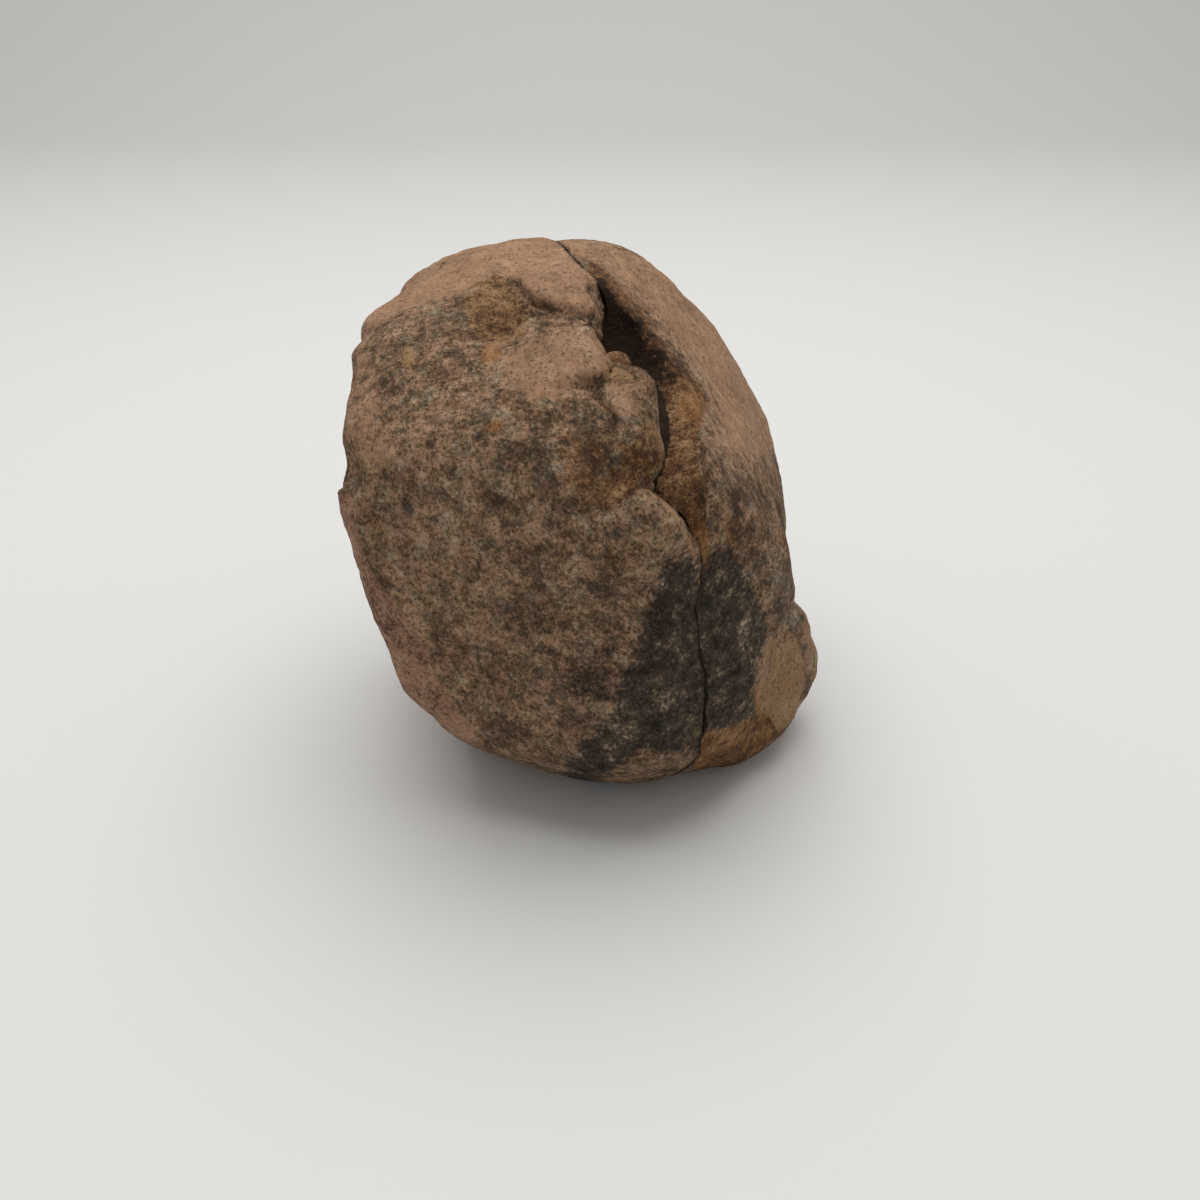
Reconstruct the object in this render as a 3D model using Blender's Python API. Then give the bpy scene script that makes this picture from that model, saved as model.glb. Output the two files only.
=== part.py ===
"""Trilobite nodule: a weathered stone nodule, split lengthwise, standing with its two halves together.

The larger half carries the fossil in relief, and lumps of its head show in the gap at the upper front.
The thinner half is the counterpart, with the matching mould. Each half is one solid.
Metres, +Z up, with the front towards -Y. The origin is the middle of the stone's underside, on the surface it rests on.
The places below are measured from a point under the block, and the finished stone is then centred over the origin.
"""

import math

import bpy
import numpy as np
from mathutils import Vector, noise

MM = 0.001

# Stone: a rounded block inside flat facets, each at its distance from the block's centre
BLOCK_CENTRE = (-2.0 * MM, 8.0 * MM, 30.0 * MM)
BASE_DROP = 30.0 * MM
EDGE_SHARPNESS = 20.0
FACETS = (
    # name, azimuth, elevation, distance: azimuth 0 is the front, 90 the right side
    ("front", -16, -2, 27.5),
    ("front_right", 36, 0, 28.5),
    ("brow", -10, 54, 30.5),
    ("top", -48, 80, 30.0),
    ("shoulder", 80, 60, 26.6),
    ("upper_right", 84, 40, 22.6),
    ("right_high", 84, 20, 23.2),
    ("right", 82, -6, 25.0),
    ("right_foot", 72, -34, 42.0),
    ("upper_left", -84, 46, 33.0),
    ("left", -90, 4, 25.6),
    ("left_low", -80, -22, 26.3),
    ("base", 0, -90, 31.0),
    ("front_under", -32, -46, 31.0),
    ("front_toe", 20, -46, 33.6),
    ("back", 180, 0, 29.0),
    ("back_left", -135, 0, 31.0),
    ("back_right", 135, 0, 29.0),
    ("back_top", 180, 45, 30.0),
    ("back_under", 180, -44, 31.0),
)
STONE_DETAIL = 5
STONE_TRIANGLES = 3600
WAVES = ((14.0 * MM, 0.55 * MM), (6.5 * MM, 0.25 * MM))

# Swells and hollows of the outer skin: place, radius and height
SWELLS = (
    ("foot_flare", (25.5, 5.0, 9.0), 14.0, 9.5),
    ("foot_waist", (24.0, 2.0, 24.0), 7.0, -0.8),
    ("chip_scar", (20.0, -8.0, 10.0), 6.0, -1.0),
    ("left_corner", (-25.0, 2.0, 52.0), 9.0, 1.6),
    ("left_lip", (-27.0, -9.0, 40.0), 6.0, 0.6),
    ("left_waist", (-27.0, -9.0, 46.0), 7.0, 0.5),
    ("ochre_hollow", (-9.8, -3.6, 57.2), 6.0, -2.2),
    ("brow_swell", (-11.0, -15.0, 49.5), 9.0, 0.8),
    ("neck_dent", (1.5, -20.0, 47.0), 4.5, -1.6),
    ("front_ledge", (4.0, -21.0, 40.5), 6.0, 1.0),
    ("back_hollow", (-6.0, 36.0, 36.0), 11.0, -1.8),
    ("back_bulge", (9.0, 33.0, 17.0), 10.0, 1.3),
)

# Parting: an upright plane through the stone, at the crack on its front face
PARTING_POINT = (11.0 * MM, -17.0 * MM, 0.0)
PARTING_TURN = math.radians(25.0)
PARTING_CELL = 0.6 * MM
PARTING_FROM = (-6.0 * MM, -3.0 * MM)
PARTING_TO = (63.0 * MM, 64.0 * MM)
PARTING_TRIANGLES = 2250
CRACK = 0.4 * MM
WAVE_RISE = 0.5 * MM
WAVE_ALONG = 7.0 * MM
WAVE_UP = 9.0 * MM
WAVE_START = 0.6
BOW_DEPTH = 1.1 * MM
BOW_HEIGHT = 31.0 * MM
BOW_REACH = (8.0 * MM, 6.0 * MM)
BLOCK_REACH = 60.0 * MM

# Fossil: a trilobite in relief on the parting, head up at the front and tail down at the back
HEAD_TIP = (2.0 * MM, 52.0 * MM)
TAIL_TIP = (34.0 * MM, 13.0 * MM)
HEAD_LENGTH = 14.0 * MM
TAIL_LENGTH = 13.0 * MM
HALF_WIDTH = 15.0 * MM
AXIS_HALF_WIDTH = 4.6 * MM
LEAST_WIDTH = 0.1 * MM
BODY_RISE = 3.4 * MM
BODY_TAPER = 0.28
DOME_SHARE = 0.6
SEGMENT_PITCH = 2.1 * MM
SEGMENT_SLANT = 0.16
RIBBED_SHARE = 0.95
SEGMENT_RISE = 0.55 * MM
EYE_DOWN = 9.0 * MM
EYE_SIDE = 7.2 * MM
EYE_RADIUS = 1.9 * MM
EYE_RISE = 1.5 * MM

# Opening at the upper front, where the nodule broke away round the head
OPENING = (8.0 * MM, 52.0 * MM)
OPENING_REACH = 14.0 * MM
OPENING_DEPTH = 9.0 * MM
NECK = (-0.8 * MM, 46.0 * MM)
NECK_REACH = 5.5 * MM
NECK_DEPTH = 4.4 * MM

# Broken rim of the counterpart round the opening: its highest place, and how it falls away along it and inwards
RIM_TOP = (11.2 * MM, 50.0 * MM)
RIM_LEAN = math.radians(32.0)
RIM_HEIGHT = 5.9 * MM
RIM_FOOT = -2.0 * MM
RIM_REACH = (11.0 * MM, 15.0 * MM)
RIM_DROP = 10.0 * MM
RIM_DEPTHS = (2.8 * MM, 6.3 * MM)
RIM_SIDE = (6.0 * MM, 12.0 * MM)

# Lumps of the head that stand in the opening: place, half sizes, and pitch and turn in degrees
LUMPS = (
    ("rear_lump", (-5.4, 4.6, 55.6), (6.0, 6.6, 4.6), 0, 0),
    ("side_lump", (-5.6, -4.8, 52.2), (6.3, 5.6, 4.9), 20, -6),
    ("glabella", (3.1, -13.6, 48.8), (3.9, 3.5, 7.0), -42, 0),
    ("eye", (1.8, -7.8, 52.9), (1.6, 1.6, 1.6), 0, 0),
)
LUMP_CLEARANCE = 0.45 * MM

POSITIVE_COLOUR = (0.235, 0.150, 0.100)
COUNTERPART_COLOUR = (0.205, 0.138, 0.092)
STONE_ROUGHNESS = 0.86


def clear_scene():
    for obj in list(bpy.data.objects):
        bpy.data.objects.remove(obj, do_unlink=True)


def collection(name):
    made = bpy.data.collections.new(name)
    bpy.context.scene.collection.children.link(made)
    return made


def stone_material(name, colour):
    """Weathered ironstone: dull all over, with a colour of its own on each half."""
    material = bpy.data.materials.new(name)
    material.use_nodes = True
    shader = material.node_tree.nodes["Principled BSDF"]
    shader.inputs["Base Color"].default_value = (*colour, 1.0)
    shader.inputs["Roughness"].default_value = STONE_ROUGHNESS
    shader.inputs["Metallic"].default_value = 0.0
    material.diffuse_color = (*colour, 1.0)
    return material


def points_of(obj):
    points = np.empty(len(obj.data.vertices) * 3)
    obj.data.vertices.foreach_get("co", points)
    return points.reshape(-1, 3)


def set_points(obj, points):
    obj.data.vertices.foreach_set("co", np.asarray(points, dtype=np.float32).ravel())
    obj.data.update()


def move_to(obj, target):
    for owner in list(obj.users_collection):
        owner.objects.unlink(obj)
    target.objects.link(obj)


def apply_modifiers(obj):
    graph = bpy.context.evaluated_depsgraph_get()
    mesh = bpy.data.meshes.new_from_object(obj.evaluated_get(graph), depsgraph=graph)
    obj.modifiers.clear()
    obj.data = mesh


def thin_out(obj, triangles):
    """Keeps about this many triangles, the most of them where the surface bends."""
    made_of = sum(len(face.vertices) - 2 for face in obj.data.polygons)
    modifier = obj.modifiers.new("Fewer faces", "DECIMATE")
    modifier.ratio = triangles / made_of
    apply_modifiers(obj)


def combine(obj, other, operation):
    modifier = obj.modifiers.new(operation.title(), "BOOLEAN")
    modifier.operation = operation
    modifier.object = other
    apply_modifiers(obj)


def facet_direction(azimuth, elevation):
    azimuth, elevation = math.radians(azimuth), math.radians(elevation)
    level = math.cos(elevation)
    return (math.sin(azimuth) * level, -math.cos(azimuth) * level, math.sin(elevation))


def facet_planes():
    normals = np.array([facet_direction(azimuth, elevation) for _, azimuth, elevation, _ in FACETS])
    distances = np.array([distance for _, _, _, distance in FACETS]) * MM
    return normals, distances


def block_share(points):
    """How far out each point lies in the rounded block: 1 is its skin and less is inside it."""
    normals, distances = facet_planes()
    reach = np.maximum((points - BLOCK_CENTRE) @ normals.T / distances, 0.0)
    return (reach**EDGE_SHARPNESS).sum(axis=1) ** (1.0 / EDGE_SHARPNESS)


def block_normals(points):
    normals, distances = facet_planes()
    reach = np.maximum((points - BLOCK_CENTRE) @ normals.T / distances, 0.0)
    reach /= reach.max(axis=1, keepdims=True)
    lean = (reach ** (EDGE_SHARPNESS - 1.0) / distances) @ normals
    return lean / np.linalg.norm(lean, axis=1, keepdims=True)


def bump(distance, radius):
    """A soft round bump of height 1, which is flat at its centre and at its radius."""
    share = np.clip(distance / radius, 0.0, 1.0)
    return (1.0 - share**2) ** 2


def skin_waves(points):
    """Slow unevenness of the weathered skin."""
    rise = np.zeros(len(points))
    for length, height in WAVES:
        rise += [height * noise.noise(Vector(point) / length) for point in points]
    return rise


def stone_block(helpers):
    """The whole stone, before it is parted."""
    bpy.ops.mesh.primitive_ico_sphere_add(subdivisions=STONE_DETAIL, radius=1.0)
    block = bpy.context.object
    block.name = "whole_stone"
    move_to(block, helpers)
    rays = points_of(block)
    rays /= np.linalg.norm(rays, axis=1, keepdims=True)
    skin = rays / block_share(rays + BLOCK_CENTRE)[:, None] + BLOCK_CENTRE
    normals = block_normals(skin)
    rise = skin_waves(skin)
    for _, place, radius, height in SWELLS:
        away = np.linalg.norm(skin - np.array(place) * MM, axis=1)
        rise += height * MM * bump(away, radius * MM)
    set_points(block, skin + normals * rise[:, None])
    thin_out(block, STONE_TRIANGLES)
    return block


def parting_axes():
    """Along the parting towards the back, up, and across it towards the counterpart."""
    along = np.array((-math.sin(PARTING_TURN), math.cos(PARTING_TURN), 0.0))
    up = np.array((0.0, 0.0, 1.0))
    return along, up, np.cross(along, up)


def on_parting(along, up, offset):
    axes = np.array(parting_axes())
    return np.stack([along, up, offset], axis=1) @ axes + PARTING_POINT


def fossil_relief(along, up):
    """Height of the trilobite over the parting: a domed body with a raised axis, ribs and a smooth head shield."""
    axis = np.subtract(TAIL_TIP, HEAD_TIP)
    length = np.hypot(*axis)
    axis /= length
    down = (along - HEAD_TIP[0]) * axis[0] + (up - HEAD_TIP[1]) * axis[1]
    side = np.abs((up - HEAD_TIP[1]) * axis[0] - (along - HEAD_TIP[0]) * axis[1])
    ahead = np.clip(1.0 - down / HEAD_LENGTH, 0.0, 1.0)
    behind = np.clip(1.0 - (length - down) / TAIL_LENGTH, 0.0, 1.0)
    taper = 1.0 - BODY_TAPER * np.clip((down - HEAD_LENGTH) / (length - HEAD_LENGTH), 0.0, 1.0)
    width = HALF_WIDTH * taper * np.sqrt(np.clip(1.0 - ahead**2, 0, 1) * np.clip(1.0 - behind**2, 0, 1))
    inside = (down > 0) & (down < length) & (side < width)
    share = np.where(inside, side / np.maximum(width, LEAST_WIDTH), 1.0)
    dome = BODY_RISE * DOME_SHARE * np.sqrt(np.clip(1.0 - share**2, 0.0, 1.0))
    axial = AXIS_HALF_WIDTH * taper * np.sqrt(np.clip(1.0 - behind**2, 0.0, 1.0))
    ridge = BODY_RISE * (1.0 - DOME_SHARE) * np.clip(1.0 - (side / np.maximum(axial, LEAST_WIDTH)) ** 2, 0.0, 1.0)
    eyes = EYE_RISE * np.exp(-((down - EYE_DOWN) ** 2 + (side - EYE_SIDE) ** 2) / EYE_RADIUS**2)
    ribs = 0.5 + 0.5 * np.cos(2 * math.pi * (down + SEGMENT_SLANT * side) / SEGMENT_PITCH)
    ribbed = np.clip((down - HEAD_LENGTH) / SEGMENT_PITCH, 0.0, 1.0)
    relief = dome + ridge + eyes - SEGMENT_RISE * ribs * ribbed * (share < RIBBED_SHARE)
    return np.where(inside, relief, 0.0)


def positive_face(along, up):
    """Offset of the larger half's parting face, across the parting."""
    wave = WAVE_RISE * np.sin(along / WAVE_ALONG + WAVE_START) * np.cos(up / WAVE_UP)
    bow = -BOW_DEPTH * np.exp(-(((up - BOW_HEIGHT) / BOW_REACH[1]) ** 2) - (along / BOW_REACH[0]) ** 2)
    away = np.hypot(along - OPENING[0], up - OPENING[1])
    opening = -OPENING_DEPTH * np.exp(-((away / OPENING_REACH) ** 2))
    to_neck = np.hypot(along - NECK[0], up - NECK[1])
    neck = -NECK_DEPTH * np.exp(-((to_neck / NECK_REACH) ** 2))
    return wave + bow + opening + neck + fossil_relief(along, up)


def counterpart_face(along, up):
    """Offset of the counterpart's face: the crack's width beyond the other, and flared out round the opening."""
    mould = positive_face(along, up) + CRACK
    skin = on_parting(along, up, np.full_like(along, RIM_HEIGHT / 2))
    depth = np.clip(1.0 - block_share(skin), 0.0, 1.0) * BASE_DROP
    run = (along - RIM_TOP[0]) * math.cos(RIM_LEAN) + (up - RIM_TOP[1]) * math.sin(RIM_LEAN)
    reach = np.where(run < 0, *RIM_REACH)
    edge = RIM_FOOT + RIM_HEIGHT * np.exp(-((run / reach) ** 2))
    widening = np.clip((run + RIM_REACH[0] / 2) / RIM_REACH[0], 0.0, 1.0)
    fall = RIM_DEPTHS[0] + (RIM_DEPTHS[1] - RIM_DEPTHS[0]) * widening
    below = (along - RIM_TOP[0]) * math.sin(RIM_LEAN) - (up - RIM_TOP[1]) * math.cos(RIM_LEAN)
    away = np.clip((below - RIM_SIDE[0]) / RIM_SIDE[1], 0.0, 1.0)
    rim = edge - RIM_DROP * (1.0 - np.exp(-((depth / fall) ** 2)) + away)
    return np.maximum(mould, rim)


def parting_sheet(helpers):
    """A flat sheet on the parting, with its points close together only where either face is uneven."""
    cells = [int(round((high - low) / PARTING_CELL)) for low, high in zip(PARTING_FROM, PARTING_TO)]
    bpy.ops.mesh.primitive_grid_add(x_subdivisions=cells[0], y_subdivisions=cells[1], size=1.0)
    sheet = bpy.context.object
    sheet.name = "parting_sheet"
    move_to(sheet, helpers)
    flat = points_of(sheet) + 0.5
    along = PARTING_FROM[0] + flat[:, 0] * (PARTING_TO[0] - PARTING_FROM[0])
    up = PARTING_FROM[1] + flat[:, 1] * (PARTING_TO[1] - PARTING_FROM[1])
    middle = (positive_face(along, up) + counterpart_face(along, up)) / 2
    set_points(sheet, np.stack([along, up, middle], axis=1))
    thin_out(sheet, PARTING_TRIANGLES)
    return sheet


def parting_cutter(name, sheet, face, far, helpers):
    """A block with one of the two parting faces on it, which reaches past the stone on the other side."""
    cutter = bpy.data.objects.new(name, sheet.data.copy())
    helpers.objects.link(cutter)
    flat = points_of(cutter)
    along, up = flat[:, 0], flat[:, 1]
    set_points(cutter, on_parting(along, up, face(along, up)))
    bpy.ops.object.select_all(action="DESELECT")
    bpy.context.view_layer.objects.active = cutter
    cutter.select_set(True)
    bpy.ops.object.mode_set(mode="EDIT")
    bpy.ops.mesh.select_all(action="SELECT")
    bpy.ops.mesh.extrude_region_move()
    bpy.ops.object.mode_set(mode="OBJECT")
    points = points_of(cutter)
    raised = np.zeros(len(points), dtype=bool)
    cutter.data.vertices.foreach_get("select", raised)
    local = (points[raised] - PARTING_POINT) @ np.array(parting_axes()).T
    points[raised] = on_parting(local[:, 0], local[:, 1], np.full(raised.sum(), far))
    set_points(cutter, points)
    bpy.ops.object.mode_set(mode="EDIT")
    bpy.ops.mesh.select_all(action="SELECT")
    bpy.ops.mesh.normals_make_consistent(inside=False)
    bpy.ops.object.mode_set(mode="OBJECT")
    return cutter


def centre_over_origin(solids):
    """Moves both halves together, so that the middle of the stone's underside is the origin."""
    points = np.concatenate([points_of(solid) for solid in solids])
    middle = (points.min(axis=0) + points.max(axis=0)) / 2
    for solid in solids:
        set_points(solid, points_of(solid) - (middle[0], middle[1], 0.0))


def lump(name, place, half_sizes, pitch, turn, grow, helpers):
    bpy.ops.mesh.primitive_ico_sphere_add(subdivisions=3, radius=1.0, location=np.array(place) * MM)
    made = bpy.context.object
    made.name = name
    made.rotation_euler = (math.radians(pitch), 0.0, math.radians(turn))
    made.scale = np.array(half_sizes) * MM + grow
    move_to(made, helpers)
    return made


def ground_cutter(helpers):
    """Everything below the surface that the stone stands on."""
    bpy.ops.mesh.primitive_cube_add(size=2 * BLOCK_REACH, location=(0.0, 0.0, -BLOCK_REACH))
    cutter = bpy.context.object
    cutter.name = "ground_cutter"
    move_to(cutter, helpers)
    return cutter


def half(name, block, parts, colour):
    made = bpy.data.objects.new(name, block.data.copy())
    parts.objects.link(made)
    made.data.materials.clear()
    made.data.materials.append(stone_material(name + "_stone", colour))
    return made


def main():
    clear_scene()
    parts = collection("trilobite_nodule")
    helpers = collection("cutters")
    block = stone_block(helpers)
    ground = ground_cutter(helpers)
    combine(block, ground, "DIFFERENCE")
    sheet = parting_sheet(helpers)

    positive = half("positive_half", block, parts, POSITIVE_COLOUR)
    beyond = parting_cutter("counterpart_side", sheet, positive_face, BLOCK_REACH, helpers)
    combine(positive, beyond, "DIFFERENCE")
    counterpart = half("counterpart_half", block, parts, COUNTERPART_COLOUR)
    before = parting_cutter("positive_side", sheet, counterpart_face, -BLOCK_REACH, helpers)
    combine(counterpart, before, "DIFFERENCE")
    for name, place, half_sizes, pitch, turn in LUMPS:
        combine(positive, lump(name, place, half_sizes, pitch, turn, 0.0, helpers), "UNION")
        room = lump(name + "_room", place, half_sizes, pitch, turn, LUMP_CLEARANCE, helpers)
        combine(counterpart, room, "DIFFERENCE")
    centre_over_origin((positive, counterpart))
    for solid in (positive, counterpart):
        solid.data.set_sharp_from_angle(angle=math.radians(45.0))
        solid.data.shade_smooth()
    for helper in helpers.objects:
        helper.hide_render = True
        helper.display_type = "WIRE"


if __name__ == "__main__":
    main()
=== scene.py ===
"""Trilobite nodule: the finish of a split stone, made over its two CAD halves and set in a small studio.

Each half is a finely meshed copy of its CAD solid. It is worked like clay, with broad waves, drawn grooves,
ledges and mounds, and then painted with finishes, painted shade and a painted highlight that follow places
on the stone.
Metres, +Z up, front towards -Y, as in the CAD model. Places on the front are also given as pixels of a
1200-pixel view from the studio camera.
"""

import math

import bpy
import numpy as np
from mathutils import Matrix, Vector, noise
from mathutils.bvhtree import BVHTree


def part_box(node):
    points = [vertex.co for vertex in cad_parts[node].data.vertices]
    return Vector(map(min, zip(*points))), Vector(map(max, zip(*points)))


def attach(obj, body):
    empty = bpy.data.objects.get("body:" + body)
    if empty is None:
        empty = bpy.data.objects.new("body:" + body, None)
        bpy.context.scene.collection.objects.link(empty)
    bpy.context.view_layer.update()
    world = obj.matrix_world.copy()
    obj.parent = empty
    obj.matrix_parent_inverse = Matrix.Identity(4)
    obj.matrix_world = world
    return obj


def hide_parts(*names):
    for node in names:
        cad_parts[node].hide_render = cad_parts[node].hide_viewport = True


bl_info = {
    "name": "Trilobite nodule",
    "version": (1, 0, 0),
    "blender": (4, 5, 0),
    "location": "3D View > Sidebar > Nodule",
    "description": "Works and paints a split stone nodule over its CAD halves, in a small studio",
    "category": "Object",
}

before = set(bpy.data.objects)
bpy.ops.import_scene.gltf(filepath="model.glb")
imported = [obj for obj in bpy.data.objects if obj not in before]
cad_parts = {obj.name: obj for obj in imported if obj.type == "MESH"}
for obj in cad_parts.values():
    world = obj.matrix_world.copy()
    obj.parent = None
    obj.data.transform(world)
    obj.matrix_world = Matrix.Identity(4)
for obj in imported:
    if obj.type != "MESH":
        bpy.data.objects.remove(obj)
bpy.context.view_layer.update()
MM = 0.001

# Studio camera, which is also the view that the pixel places belong to
CAMERA_PLACE = (-0.1 * MM, -141.6 * MM, 96.6 * MM)
CAMERA_PITCH = math.radians(61.0)
CAMERA_LENS = 38.6
CAMERA_SENSOR = 36.0
IMAGE_SIZE = 1200.0
FOCAL_PIXELS = IMAGE_SIZE * CAMERA_LENS / CAMERA_SENSOR

# How far behind the first stone a point starts to fade, and where it is fully hidden
HIDDEN_FADE = (0.7 * MM, 2.2 * MM)

# Fine mesh: how near two points are one, and how much one round of smoothing evens out
MERGE_REACH = 0.001 * MM
SMOOTHING = 0.5

# Rough skin: how it fades in away from the crack and the ground, and how finely its waves are broken up
CRACK_FADE = (0.5 * MM, 1.8 * MM)
FACING_FADE = (0.25, 0.65)
GROUND_FADE = (0.15 * MM, 1.2 * MM)
SKIN_DEPTH = 2

# Crack: how far the halves are apart where it counts as closed and as open, and the gap left at its lips
CLOSED_CRACK = 0.7 * MM
OPEN_CRACK = 1.4 * MM
LIP_GAP = 0.23 * MM

# Wander of the crack: size and width of its waves, and how it fades away from the crack and higher up
WANDER = ((3.0 * MM, 0.75 * MM), (1.2 * MM, 0.25 * MM))
WANDER_SEED = 5.3
WANDER_REACH = (0.7 * MM, 4.5 * MM)
WANDER_TOP = (28.0 * MM, 38.0 * MM)

# Box of a half: the room left inside it, and how low a point is that rests on the ground
BOX_MARGIN = 0.01 * MM
RESTING_HEIGHT = 0.05 * MM

# Places that are pulled: name, place, radius and move, in millimetres
PULLS = {
    "positive": (
        ("upper left shoulder", (-22.5, 10.0, 56.5), 8.0, (0.4, 0.0, -0.8)),
        ("back shoulder", (-24.0, 12.5, 54.5), 6.5, (0.6, 0.0, -0.8)),
        ("shoulder's notch", (-23.6, 3.5, 55.6), 5.0, (-0.5, 0.0, 0.5)),
        ("left slope", (-24.8, -0.5, 54.3), 5.0, (-2.0, 0.0, 0.2)),
        ("left corner", (-25.8, -7.5, 52.2), 5.0, (-0.9, 0.0, 0.2)),
        ("left flank", (-25.7, -12.6, 50.4), 4.5, (-1.0, 0.0, 0.0)),
        ("left flank's foot", (-25.6, -16.8, 48.4), 4.5, (-0.4, 0.0, 0.0)),
        ("waist above the lip", (-25.9, -19.0, 44.2), 3.3, (1.9, 0.0, 0.0)),
        ("lip", (-26.3, -20.4, 41.5), 3.0, (1.0, 0.0, 0.0)),
        ("behind the waist", (-26.5, -13.5, 43.2), 4.5, (0.9, 0.0, 0.0)),
        ("lower left corner", (-21.0, -20.3, 18.0), 6.0, (-0.8, 0.0, -0.5)),
        ("lower left side", (-25.0, -20.8, 32.0), 7.0, (0.6, 0.0, 0.0)),
        ("nose", (5.8, -21.5, 51.0), 6.0, (-1.3, 0.0, -0.3)),
        ("neck", (5.2, -25.0, 46.8), 4.0, (-0.9, 0.2, 0.0)),
        ("side lump", (0.4, -11.6, 55.6), 3.5, (-0.3, 0.0, 0.3)),
        ("rear lump's end", (0.4, -4.4, 57.6), 4.0, (-1.2, 0.0, 0.1)),
        ("rear lump's top", (-3.0, 0.5, 60.0), 4.5, (0.0, 0.0, 0.4)),
        ("far top", (-6.0, 14.0, 60.0), 8.0, (0.0, 0.0, 0.5)),
    ),
    "counterpart": (
        ("waist of the foot", (20.3, -14.0, 30.5), 8.0, (1.3, 0.0, 0.0)),
        ("saddle of the foot", (21.8, -9.5, 24.0), 6.0, (1.2, -1.0, 0.8)),
        ("flare of the foot", (20.4, -15.0, 26.0), 4.5, (1.1, 0.0, 0.0)),
        ("foot", (24.9, -6.0, 18.8), 6.5, (2.0, 0.0, 1.1)),
        ("heel", (26.8, -4.7, 9.0), 5.0, (-1.0, 0.0, 0.0)),
        ("toe", (21.0, -11.0, 4.5), 9.0, (0.9, -1.1, -0.9)),
        ("far top", (0.0, 12.0, 59.6), 8.0, (0.2, 0.0, 0.6)),
        ("upper right", (7.0, 13.0, 56.0), 8.0, (0.5, 0.0, 0.7)),
    ),
}

# Creases between the CAD's lumps that are melted into the skin: name, place and radius in millimetres
MELTS = {
    "positive": (
        ("left of the rear lump", (-11.0, 1.5, 59.6), 6.5),
        ("far left of the rear lump", (-12.4, 9.1, 60.1), 5.0),
        ("behind the rear lump", (-7.5, 1.5, 60.2), 4.5),
        ("top of the rear lump", (-4.5, 1.1, 60.1), 4.5),
        ("end of the rear lump", (-0.6, -3.2, 58.0), 3.2),
        ("left of the side lump", (-11.0, -13.5, 55.3), 6.0),
        ("end of the side lump", (0.8, -11.5, 55.4), 2.5),
        ("below the side lump", (-6.0, -18.5, 53.0), 4.5),
        ("below the nose", (2.6, -26.5, 46.0), 3.5),
    ),
    "counterpart": (
        ("rim by the rear lump", (2.1, -3.3, 57.0), 3.2),
        ("rim by the knob", (5.0, -6.0, 54.3), 3.2),
        ("rim behind the nose", (7.4, -8.7, 51.9), 3.2),
        ("rim beside the nose", (8.8, -11.0, 50.1), 3.2),
    ),
}

# Drawn grooves: name, line in pixels, half width and depth in millimetres
GROOVES = {
    "positive": (
        ("crease under the rear lump", ((515, 279), (522, 291), (532, 303), (554, 309), (575, 312),
                                        (594, 318)), 0.34, 0.95),
        ("strip below the crease", ((530, 314), (552, 316), (572, 319), (589, 324)), 0.25, 0.35),
        ("top of the side lump", ((537, 329), (560, 325), (588, 324), (600, 329)), 0.30, 0.30),
        ("fine layer", ((505, 288), (517, 297), (528, 309), (532, 318)), 0.18, 0.22),
        ("second fine layer", ((499, 293), (510, 302), (520, 314)), 0.18, 0.18),
        ("layer in the hollow", ((484, 284), (500, 279), (516, 285)), 0.30, 0.20),
        ("second layer in the hollow", ((476, 301), (492, 296), (508, 299), (518, 306)), 0.30, 0.15),
        ("third layer in the hollow", ((472, 318), (490, 313), (508, 317), (518, 323)), 0.30, 0.15),
        ("fourth layer in the hollow", ((477, 333), (494, 329), (512, 333)), 0.30, 0.20),
        ("notch between the lumps", ((580, 383), (588, 382), (598, 384)), 0.55, 0.80),
        ("groove left of the nose", ((588, 384), (594, 394), (604, 405), (614, 417), (612, 430)),
         0.35, 0.60),
        ("seam below the nose", ((612, 430), (611, 455), (612, 480), (610, 505)), 0.20, 0.35),
        ("hairline on the nose", ((598, 385), (601, 381), (612, 380), (627, 377), (636, 380)), 0.14, 0.22),
        ("left of the ledge", ((610, 513), (618, 503), (633, 492), (646, 487)), 0.35, 0.60),
        ("flank groove", ((371, 333), (373, 361), (385, 385), (391, 402), (393, 428), (400, 456)),
         1.1, 0.30),
        ("brow hairline", ((464, 452), (474, 444), (482, 437), (485, 431)), 0.16, 0.20),
        ("top hairline", ((390, 391), (404, 385), (413, 378), (416, 366)), 0.20, 0.25),
    ),
    "counterpart": (
        ("lower branch", ((700, 678), (705, 682), (711, 687)), 0.18, 0.35),
        ("edge of the rust", ((698, 440), (698, 460), (701, 478), (701, 509), (704, 530)), 0.30, 0.22),
    ),
}

# Ledges, proud on their line's right: name, line in pixels, then edge, reach and height in millimetres
LEDGES = {
    "positive": (
        ("rear lump", ((650, 345), (596, 319), (579, 312), (556, 309), (533, 303), (523, 291), (516, 279)),
         1.5, 5.0, 0.6),
        ("side lump", ((524, 345), (537, 331), (560, 326), (588, 325), (606, 328), (650, 345)),
         1.3, 4.0, 0.5),
        ("side lump's foot", ((640, 372), (597, 379), (588, 384), (560, 388), (540, 384)), 1.2, 3.5, 0.5),
        ("front ledge", ((600, 520), (634, 492), (648, 488), (661, 500), (674, 512), (682, 529),
                         (692, 548)), 0.35, 3.0, 0.5),
        ("brow crest", ((519, 406), (540, 411), (562, 418), (580, 420), (599, 421)), 0.9, 2.4, -0.35),
        ("lip", ((320, 491), (345, 489), (357, 487), (372, 491), (392, 506)), 0.3, 3.0, 0.6),
        ("smooth facet", ((466, 723), (448, 691), (431, 670), (425, 651), (414, 626), (389, 596),
                          (372, 571)), 0.6, 2.5, 0.25),
    ),
    "counterpart": (),
}

# How far from its ends a ledge reaches its full height, in millimetres
LEDGE_END = 2.5

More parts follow.
